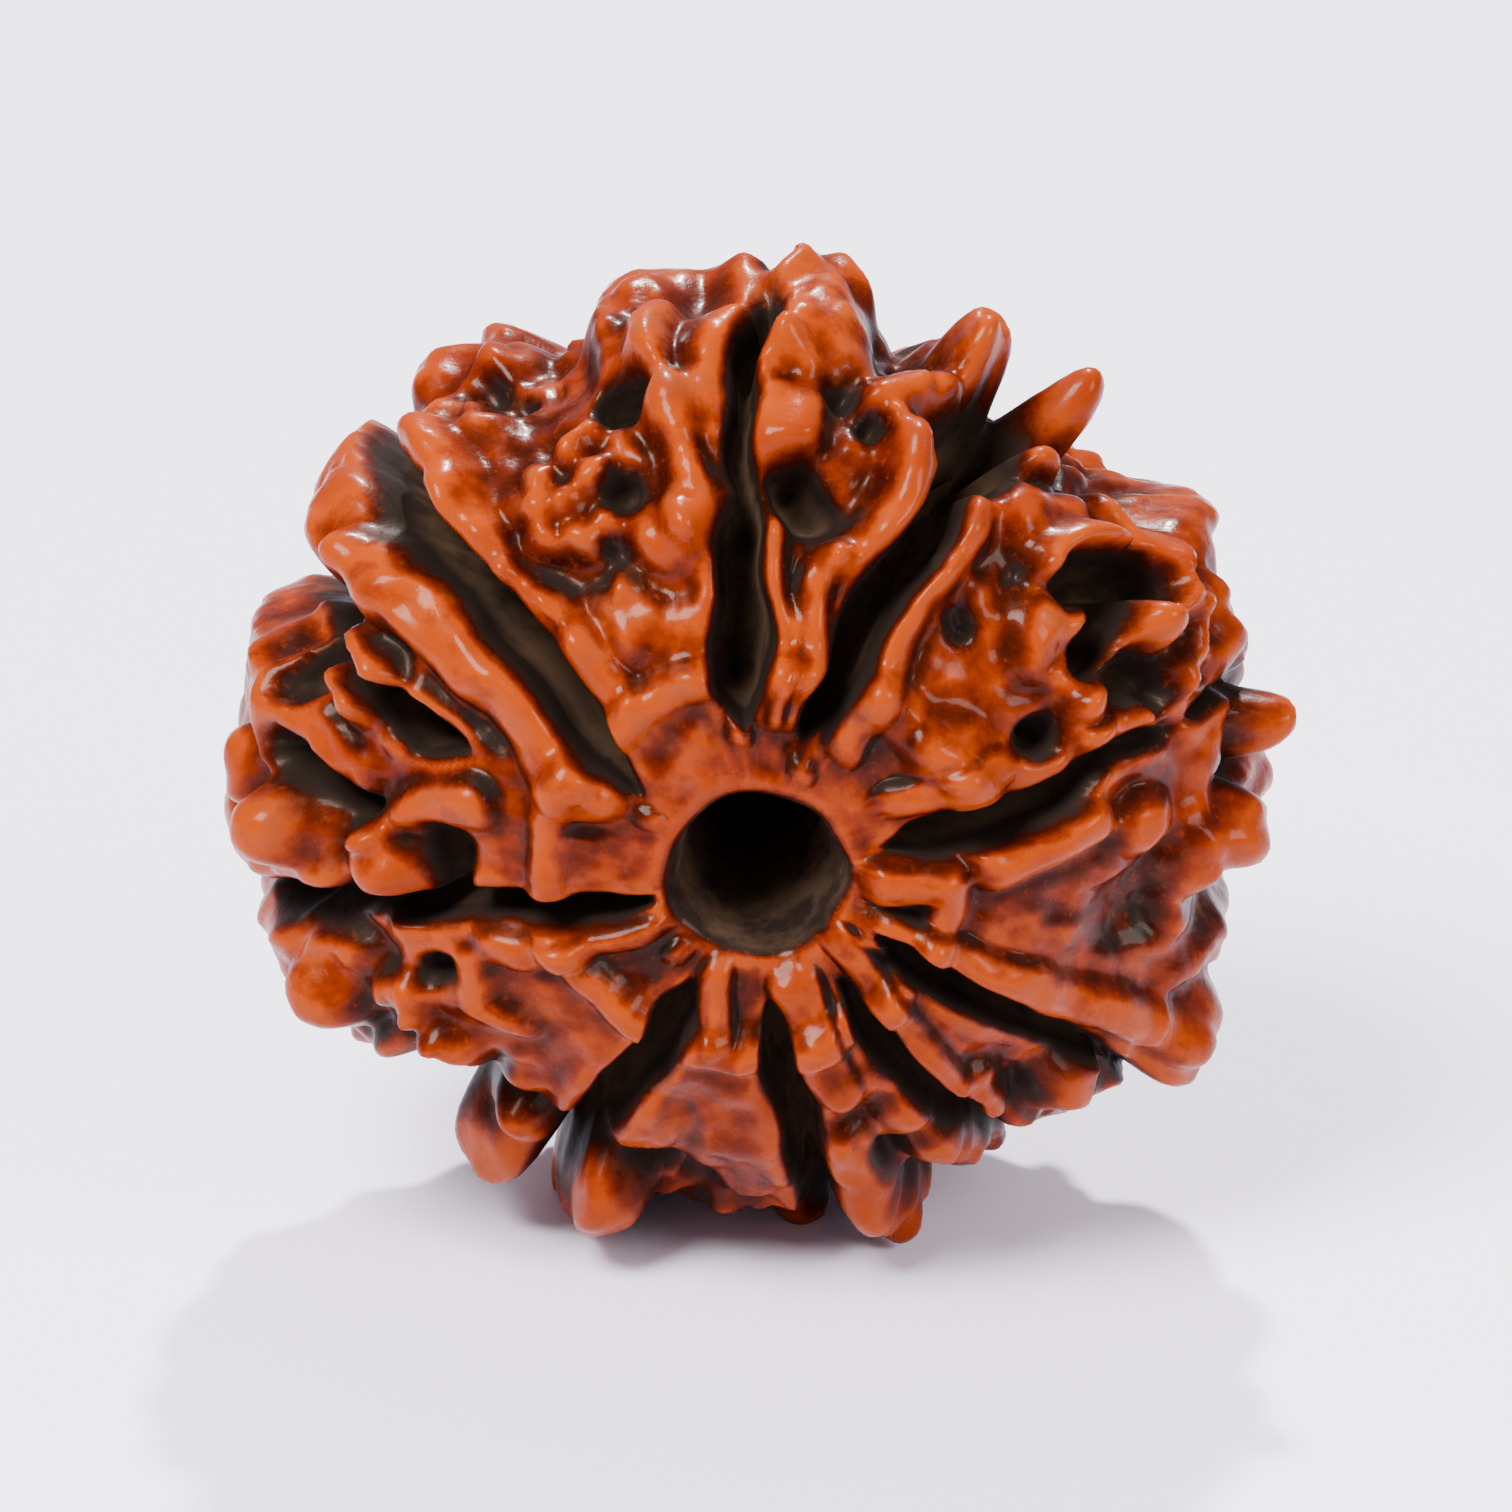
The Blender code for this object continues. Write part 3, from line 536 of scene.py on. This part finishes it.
def hemisphere(count, seed):
    """Directions spread over the half of a ball round +Z, more of them near +Z."""
    draw = np.random.default_rng(seed)
    lift = np.sqrt(draw.uniform(0.02, 1.0, count))
    turn = draw.uniform(0.0, 2.0 * math.pi, count)
    level = np.sqrt(1.0 - lift * lift)
    return np.stack([level * np.cos(turn), level * np.sin(turn), lift], axis=-1)


def openness(piece, rays, reach):
    """For each point, the share of directions in which it sees out of the relief, 0 to 1."""
    tree = BVHTree.FromPolygons(
        [vertex.co for vertex in piece.data.vertices],
        [polygon.vertices for polygon in piece.data.polygons])
    pattern = [Vector(way) for way in hemisphere(rays, SEED)]
    seen = np.zeros(len(piece.data.vertices))
    for vertex in piece.data.vertices:
        normal = vertex.normal
        turn = Vector((0.0, 0.0, 1.0)).rotation_difference(normal).to_matrix()
        start = vertex.co + normal * (RAY_START * MM)
        free = sum(tree.ray_cast(start, turn @ way, reach)[0] is None for way in pattern)
        seen[vertex.index] = free / rays
    return seen


def blurred(piece, values, times):
    """Evens the values out between neighbouring points."""
    count = len(values)
    pairs = np.empty(2 * len(piece.data.edges), dtype=np.int64)
    piece.data.edges.foreach_get("vertices", pairs)
    one, two = pairs.reshape(-1, 2).T
    share = np.bincount(one, minlength=count) + np.bincount(two, minlength=count)
    for _ in range(times):
        nearby = np.bincount(one, values[two], count) + np.bincount(two, values[one], count)
        values = 0.5 * values + 0.5 * nearby / np.maximum(share, 1)
    return values


class Number:
    """A number in a material that can be worked with like a Python number."""

    def __init__(self, finish, socket):
        self.finish = finish
        self.socket = socket

    def _worked(self, operation, *values):
        node = self.finish.node("ShaderNodeMath", {"operation": operation}, dict(enumerate(values)))
        return Number(self.finish, node.outputs[0])

    def __add__(self, other):
        return self._worked("ADD", self, other)

    __radd__ = __add__

    def __sub__(self, other):
        return self._worked("SUBTRACT", self, other)

    def __rsub__(self, other):
        return self._worked("SUBTRACT", other, self)

    def __mul__(self, other):
        return self._worked("MULTIPLY", self, other)

    __rmul__ = __mul__

    def __truediv__(self, other):
        return self._worked("DIVIDE", self, other)

    def __rtruediv__(self, other):
        return self._worked("DIVIDE", other, self)

    def clamped(self):
        """Kept between 0 and 1."""
        held = self._worked("MINIMUM", self, 1.0)
        return held._worked("MAXIMUM", held, 0.0)


class Finish:
    """A material and the nodes in it."""

    def __init__(self, name):
        self.material = bpy.data.materials.new(name)
        self.material.use_nodes = True
        self.tree = self.material.node_tree
        self.surface = self.tree.nodes["Principled BSDF"]

    def node(self, kind, settings=None, sockets=None):
        """Adds a node, sets it up, then fills its sockets with values or links."""
        node = self.tree.nodes.new(kind)
        for name, value in (settings or {}).items():
            if name == "stops":
                self._set_stops(node.color_ramp, value)
            else:
                setattr(node, name, value)
        for name, value in (sockets or {}).items():
            self.feed(node.inputs[name], value)
        return node

    def feed(self, socket, value):
        """Links a number, a colour or a vector of this material to a socket, or sets a plain value."""
        if isinstance(value, Number):
            self.tree.links.new(value.socket, socket)
        elif isinstance(value, bpy.types.NodeSocket):
            self.tree.links.new(value, socket)
        else:
            socket.default_value = value

    def _set_stops(self, ramp, stops):
        while len(ramp.elements) < len(stops):
            ramp.elements.new(0.5)
        for element, (place, colour) in zip(ramp.elements, stops):
            element.position = place
            element.color = (*colour, 1.0)

    def lay_over_matt(self, share, colour):
        """Shows the glossy surface by this share and a matt one of this colour elsewhere."""
        matt = self.node("ShaderNodeBsdfDiffuse", None, {"Color": colour, "Roughness": 1.0})
        sockets = {0: share, 1: matt.outputs["BSDF"], 2: self.surface.outputs["BSDF"]}
        blend = self.node("ShaderNodeMixShader", None, sockets)
        self.feed(self.tree.nodes["Material Output"].inputs["Surface"], blend.outputs["Shader"])

    def attribute(self, name):
        """The piece's own number of this name."""
        node = self.node("ShaderNodeAttribute", {"attribute_name": name, "attribute_type": "GEOMETRY"})
        return Number(self, node.outputs["Fac"])

    def object_point(self):
        """The place on the piece, in metres."""
        return self.node("ShaderNodeTexCoord").outputs["Object"]

    def noise(self, point, size, detail=4.0, roughness=0.55):
        """Cloudy noise between 0 and 1 with patches of about this size in metres."""
        sockets = {"Vector": point, "Scale": 1.0 / size, "Detail": detail, "Roughness": roughness}
        return Number(self, self.node("ShaderNodeTexNoise", None, sockets).outputs["Fac"])

    def stretched(self, number, low, high):
        """The number spread so that low becomes 0 and high becomes 1, and kept between them."""
        return ((number - low) / (high - low)).clamped()

    def ramp(self, number, stops):
        """A colour picked along the stops."""
        return self.node("ShaderNodeValToRGB", {"stops": stops}, {"Fac": number}).outputs["Color"]

    def mixed(self, share, one, two, blend="MIX"):
        """One colour laid over another by this share."""
        settings = {"data_type": "RGBA", "blend_type": blend}
        return self.node("ShaderNodeMix", settings, {0: share, 6: one, 7: two}).outputs[2]


def plain_colour(values):
    """A panel colour with its alpha."""
    return (values[0], values[1], values[2], 1.0)


# Sizes in metres of the cloudy noises in the stone's finish.
PATCH_SIZE = 0.0032
MOTTLE_SIZE = 0.0014
GRAIN_SIZE = 0.0006
SPECK_SIZE = 0.00022


def stone_finish(colours):
    """Oiled seed stone with painted shade and light: near black in the clefts, red-brown on the flanks,
    orange on the open ridges.
    """
    finish = Finish("oiled_seed_stone")
    point = finish.object_point()
    # Painted shade and light: how open each point lies, how it stands out from its neighbours and how high it
    # rises drive the colour below.
    light = finish.attribute("openness")
    edge = finish.attribute("edge")
    rise = finish.attribute("rise")
    patches = finish.noise(point, PATCH_SIZE, 3.0)
    mottle = finish.noise(point, MOTTLE_SIZE, 4.0, 0.6)
    grain = finish.noise(point, GRAIN_SIZE, 5.0, 0.6)
    specks = finish.noise(point, SPECK_SIZE, 3.0, 0.6)
    uneven = 0.5 * (patches - 0.5) + 0.6 * (mottle - 0.5) + 0.35 * (grain - 0.5)
    # The shade: lower where the stone lies closed or low, higher on crests and raised bars, with random
    # unevenness of tone.
    shade = 0.78 * light + uneven + 1.3 * edge + 0.22 * rise
    # The stops run from painted shade to painted light: the cleft colour and a darkened copy of the flank
    # colour where the shade is low, the crest colour as painted light where it is high.
    stops = [
        (0.26, tuple(colours.cleft)), (0.46, tuple(0.4 * c for c in colours.flank)),
        (0.62, tuple(colours.flank)), (0.77, tuple(colours.ridge)), (0.92, tuple(colours.crest))]
    body = finish.ramp(shade, stops)
    reddened = finish.mixed(
        0.7 * finish.stretched(patches, 0.5, 0.68), body, plain_colour(colours.blush), "MULTIPLY")
    dusted = finish.mixed(
        0.4 * finish.stretched(mottle, 0.56, 0.72), reddened, plain_colour(colours.dust))
    worn = finish.mixed(0.3 * finish.stretched(specks, 0.58, 0.75), dusted, plain_colour(colours.crest))
    # The redder, dull and worn patches show only where the stone lies open.
    open_part = finish.mixed(finish.stretched(light, 0.4, 0.7), body, worn)
    # Painted shade in the clefts, pits and hole: where the stone lies low and closed, the colour turns to the
    # dark inside colour and the surface turns matt; noise breaks up the border.
    depth = rise + 1.5 * (light - 0.5) + 0.8 * (grain - 0.5) + 1.2 * (mottle - 0.5)
    outside_painted_shade = finish.stretched(depth, -2.3, -0.9)
    # The colour of that painted shade: the near-black cleft colour, with the brown wall colour in noisy
    # patches, more of it where the stone lies closed.
    browned = 0.85 * finish.stretched(mottle + 0.5 * grain + 0.4 * (0.5 - light), 0.66, 0.94)
    inside = finish.mixed(browned, plain_colour(colours.cleft), plain_colour(colours.wall))
    finish.feed(finish.surface.inputs["Base Color"], finish.mixed(outside_painted_shade, inside, open_part))
    roughness = 0.27 + 0.3 * (grain - 0.5) + 0.3 * (1.0 - light)
    finish.feed(finish.surface.inputs["Roughness"], roughness.clamped())
    finish.feed(finish.surface.inputs["Coat Weight"], 0.08 * finish.stretched(light, 0.4, 0.8) * outside_painted_shade)
    finish.lay_over_matt(outside_painted_shade, inside)
    finish.surface.inputs["Coat Roughness"].default_value = 0.12
    finish.surface.inputs["Specular IOR Level"].default_value = 0.06
    finish.surface.inputs["Specular Tint"].default_value = (1.0, 0.66, 0.42, 1.0)
    height = 0.6 * grain + 0.4 * specks
    bump = finish.node("ShaderNodeBump", None, {"Strength": 0.35, "Distance": 0.0001, "Height": height})
    finish.feed(finish.surface.inputs["Normal"], bump.outputs["Normal"])
    return finish.material


def floor_finish(colour):
    """A pale, faintly glossy table top."""
    finish = Finish("pale_table")
    point = finish.object_point()
    cloud = finish.noise(point, 0.08, 2.0)
    tone = finish.mixed(0.05 * cloud, plain_colour(colour), (0.75, 0.72, 0.80, 1.0))
    finish.feed(finish.surface.inputs["Base Color"], tone)
    finish.feed(finish.surface.inputs["Roughness"], 0.38 + 0.1 * cloud)
    return finish.material


class BeadSizes(bpy.types.PropertyGroup):
    """Sizes of the stone's smooth form, its thread hole and its relief."""

    rim_radius: FloatProperty(
        name="Rim radius", description="Radius of the smooth form at the rim", default=0.01215, unit="LENGTH")
    half_thickness: FloatProperty(
        name="Half thickness", description="From the middle to either pole", default=0.0082, unit="LENGTH")
    roundness: FloatProperty(
        name="Roundness", description="2 is an ellipse, more is squarer", default=2.25)
    height_ratio: FloatProperty(
        name="Height ratio", description="Height over width of the smooth form", default=0.96)
    front_mouth: FloatProperty(
        name="Front mouth", description="Radius of the hole's front mouth", default=0.0020, unit="LENGTH")
    back_mouth: FloatProperty(
        name="Back mouth", description="Radius of the hole's back mouth", default=0.00175, unit="LENGTH")
    bore_radius: FloatProperty(
        name="Bore", description="Radius of the hole in the middle", default=0.00135, unit="LENGTH")
    cleft_depth: FloatProperty(
        name="Cleft depth", description="Depth of a full-width cleft", default=0.0025, unit="LENGTH")
    cleft_lip: FloatProperty(
        name="Cleft lip", description="Height of the lips beside a cleft", default=0.00014, unit="LENGTH")
    pore_depth: FloatProperty(
        name="Pores", description="Depth of the finest wrinkles", default=0.000035, unit="LENGTH")
    foot_depth: FloatProperty(
        name="Foot depth", description="From the middle down to the feet", default=0.01172, unit="LENGTH")
    turns: IntProperty(
        name="Turns", description="Faces round the axis before they are cut in four", default=256, max=256)
    rows: IntProperty(
        name="Rows", description="Faces round the section before they are cut in four", default=96, max=256)


class BeadColours(bpy.types.PropertyGroup):
    """Colours of the oiled stone, some of them painted shade and light."""

    # Cleft, flank, ridge and crest are the stops of the painted shade ramp: the cleft colour and a darkened
    # flank are painted shade, the crest colour is painted light.
    cleft: FloatVectorProperty(
        name="Cleft", description="In the clefts and pits", subtype="COLOR", default=(0.0125, 0.0078, 0.0062))
    flank: FloatVectorProperty(
        name="Flank", description="On the sides of bumps", subtype="COLOR", default=(0.060, 0.0048, 0.0003))
    ridge: FloatVectorProperty(
        name="Ridge", description="On the ridges", subtype="COLOR", default=(0.134, 0.0120, 0.0004))
    # The crest colour is painted light on the most open, raised crests; only its random specks stand for
    # wear.
    crest: FloatVectorProperty(
        name="Crest", description="On the worn tops", subtype="COLOR", default=(0.255, 0.0315, 0.0008))
    blush: FloatVectorProperty(
        name="Blush", description="Redder patches", subtype="COLOR", default=(0.62, 0.40, 0.60))
    # With the cleft colour, the wall colour makes the painted shade in the clefts, pits and hole.
    wall: FloatVectorProperty(
        name="Wall", description="Brown patches in the clefts", subtype="COLOR",
        default=(0.048, 0.027, 0.016))
    dust: FloatVectorProperty(
        name="Dust", description="Dull patches", subtype="COLOR", default=(0.115, 0.038, 0.020))


class BeadStage(bpy.types.PropertyGroup):
    """Floor, lamps and camera."""

    floor: FloatVectorProperty(
        name="Floor", description="Table top", subtype="COLOR", default=(0.89, 0.83, 0.98))
    lift: FloatProperty(
        name="Lift", description="How far the camera looks down", default=math.radians(22), subtype="ANGLE")
    aim: FloatProperty(
        name="Aim", description="Height that the camera looks at", default=0.01162, unit="LENGTH")
    distance: FloatProperty(
        name="Distance", description="Camera to the place it looks at", default=0.2, unit="LENGTH")
    lens: FloatProperty(name="Lens", description="Focal length in millimetres", default=197.8)
    key_power: FloatProperty(name="Key lamp", description="Power in watts", default=2.5)
    fill_power: FloatProperty(name="Fill lamp", description="Power in watts", default=0.6)
    back_power: FloatProperty(name="Back lamp", description="Power in watts", default=2.4)
    sky: FloatProperty(name="Room light", description="Strength of the pale surroundings", default=0.55)


# Lamps: place from the bead's middle and width, in metres.
KEY_LAMP = ((-0.11, -0.12, 0.23), 0.12)
FILL_LAMP = ((0.20, -0.12, 0.12), 0.10)
BACK_LAMP = ((0.02, 0.22, 0.26), 0.018)
ROOM_COLOUR = (0.93, 0.90, 1.0, 1.0)
FLOOR_SIZE = 3.0


def deselect_all():
    """Leaves nothing selected or active."""
    bpy.ops.object.select_all(action="DESELECT")
    bpy.context.view_layer.objects.active = None


class BEAD_OT_stone(bpy.types.Operator):
    """Grow the furrowed stone with its thread hole and cut its feet flat"""

    bl_idname = "bead.stone"
    bl_label = "Grow the stone"

    def execute(self, context):
        sizes = context.scene.bead_sizes
        stone = self.finely_divided_ring(context, sizes)
        azimuth, section = ring_angles(stone, RING_RADIUS * sizes.rim_radius)
        form = StoneForm(sizes)
        spots, rise = grown_spots(form, azimuth, section, 2 * sizes.rows, sizes.height_ratio)
        put_points(stone, spots)
        add_attribute(stone, "rise", rise)
        self.soften_and_cut(sizes)
        self.stand(stone)
        self.mark_depth(stone)
        stone.data.materials.clear()
        stone.data.materials.append(stone_finish(context.scene.bead_colours))
        bpy.ops.object.shade_smooth_by_angle(angle=math.radians(70))
        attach(stone, "root")
        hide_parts("bead")
        return {"FINISHED"}

    def finely_divided_ring(self, context, sizes):
        """A ring inside the stone's outline, every face of it cut in four."""
        deselect_all()
        bpy.ops.mesh.primitive_torus_add(
            major_segments=sizes.turns, minor_segments=sizes.rows,
            major_radius=RING_RADIUS * sizes.rim_radius,
            minor_radius=RING_THICKNESS * sizes.rim_radius)
        ring = context.object
        ring.name = "furrowed_stone"
        ring.data.name = "furrowed_stone"
        bpy.ops.object.mode_set(mode="EDIT")
        bpy.ops.mesh.select_all(action="SELECT")
        bpy.ops.mesh.subdivide(number_cuts=1)
        bpy.ops.object.mode_set(mode="OBJECT")
        return ring

    def soften_and_cut(self, sizes):
        """Rounds the edges a little, points every face outwards and cuts the feet level."""
        bpy.ops.object.mode_set(mode="EDIT")
        bpy.ops.mesh.select_all(action="SELECT")
        bpy.ops.mesh.vertices_smooth(factor=0.5, repeat=2)
        bpy.ops.mesh.normals_make_consistent(inside=False)
        bpy.ops.mesh.bisect(
            plane_co=(0, 0, -sizes.foot_depth), plane_no=(0, 0, 1), use_fill=True, clear_inner=True,
            threshold=CUT_SLACK)
        bpy.ops.object.mode_set(mode="OBJECT")

    def stand(self, stone):
        """Moves the points so that the feet are on the floor and the box is centred over the origin."""
        spots = points_of(stone)
        low = spots.min(axis=0)
        high = spots.max(axis=0)
        spots -= [(low[0] + high[0]) / 2, (low[1] + high[1]) / 2, low[2]]
        put_points(stone, spots)

    def mark_depth(self, stone):
        """Stores how open each point lies and how sharply it stands out, which the finish paints as shade and
        light.
        """
        rays = RAYS
        seen = blurred(stone, openness(stone, rays, RAY_REACH * MM), OPENNESS_BLUR)
        add_attribute(stone, "openness", seen)
        add_attribute(stone, "edge", seen - blurred(stone, seen, EDGE_BLUR))


class BEAD_OT_stage(bpy.types.Operator):
    """Lay the pale floor, hang the soft lamps and set up the camera"""

    bl_idname = "bead.stage"
    bl_label = "Set the stage"

    def execute(self, context):
        stage = context.scene.bead_stage
        middle = Vector((0.0, 0.0, context.scene.bead_sizes.foot_depth))
        self.lay_floor(context, stage)
        self.hang_lamp("key_lamp", middle, KEY_LAMP, stage.key_power)
        self.hang_lamp("fill_lamp", middle, FILL_LAMP, stage.fill_power)
        self.hang_lamp("back_lamp", middle, BACK_LAMP, stage.back_power)
        self.light_room(context, stage)
        self.place_camera(context, stage)
        return {"FINISHED"}

    def lay_floor(self, context, stage):
        """A large level sheet under the bead."""
        deselect_all()
        bpy.ops.mesh.primitive_plane_add(size=FLOOR_SIZE, location=(0, 0, 0))
        floor = context.object
        floor.name = "floor"
        floor.data.materials.append(floor_finish(stage.floor))

    def hang_lamp(self, name, middle, placing, power):
        """A square soft lamp that faces the bead."""
        offset, size = placing
        lamp = bpy.data.lights.new(name, "AREA")
        lamp.size = size
        lamp.energy = power
        holder = bpy.data.objects.new(name, lamp)
        bpy.context.collection.objects.link(holder)
        holder.location = middle + Vector(offset)
        holder.rotation_euler = (-Vector(offset)).to_track_quat("-Z", "Y").to_euler()

    def light_room(self, context, stage):
        """Pale, even surroundings."""
        room = bpy.data.worlds.new("pale_room")
        context.scene.world = room
        room.use_nodes = True
        glow = room.node_tree.nodes["Background"]
        glow.inputs["Color"].default_value = ROOM_COLOUR
        glow.inputs["Strength"].default_value = stage.sky

    def place_camera(self, context, stage):
        """A long lens that looks down on the front pole."""
        camera = bpy.data.objects.new("camera", bpy.data.cameras.new("camera"))
        context.collection.objects.link(camera)
        toward = Vector((0.0, -math.cos(stage.lift), math.sin(stage.lift)))
        camera.location = Vector((0.0, 0.0, stage.aim)) + stage.distance * toward
        camera.rotation_euler = (-toward).to_track_quat("-Z", "Y").to_euler()
        camera.data.sensor_width = 36.0
        camera.data.lens = stage.lens
        camera.data.clip_start = 0.01
        context.scene.camera = camera


class BEAD_PT_panel(bpy.types.Panel):
    """Sizes, colours and the buttons that make the bead"""

    bl_label = "Rudraksha bead"
    bl_idname = "BEAD_PT_panel"
    bl_space_type = "VIEW_3D"
    bl_region_type = "UI"
    bl_category = "Bead"

    def draw(self, context):
        for group in (context.scene.bead_sizes, context.scene.bead_colours, context.scene.bead_stage):
            box = self.layout.box()
            for name in group.__annotations__:
                box.prop(group, name)
        self.layout.operator("bead.stone")
        self.layout.operator("bead.stage")


CLASSES = (BeadSizes, BeadColours, BeadStage, BEAD_OT_stone, BEAD_OT_stage, BEAD_PT_panel)


def register():
    """Adds the groups, the buttons and the panel."""
    for item in CLASSES:
        bpy.utils.register_class(item)
    bpy.types.Scene.bead_sizes = PointerProperty(type=BeadSizes)
    bpy.types.Scene.bead_colours = PointerProperty(type=BeadColours)
    bpy.types.Scene.bead_stage = PointerProperty(type=BeadStage)


def unregister():
    """Takes the groups, the buttons and the panel away again."""
    del bpy.types.Scene.bead_stage
    del bpy.types.Scene.bead_colours
    del bpy.types.Scene.bead_sizes
    for item in reversed(CLASSES):
        bpy.utils.unregister_class(item)


def main():
    """Makes the bead and its stage."""
    register()
    bpy.ops.bead.stone()
    bpy.ops.bead.stage()


if __name__ == "__main__":
    main()
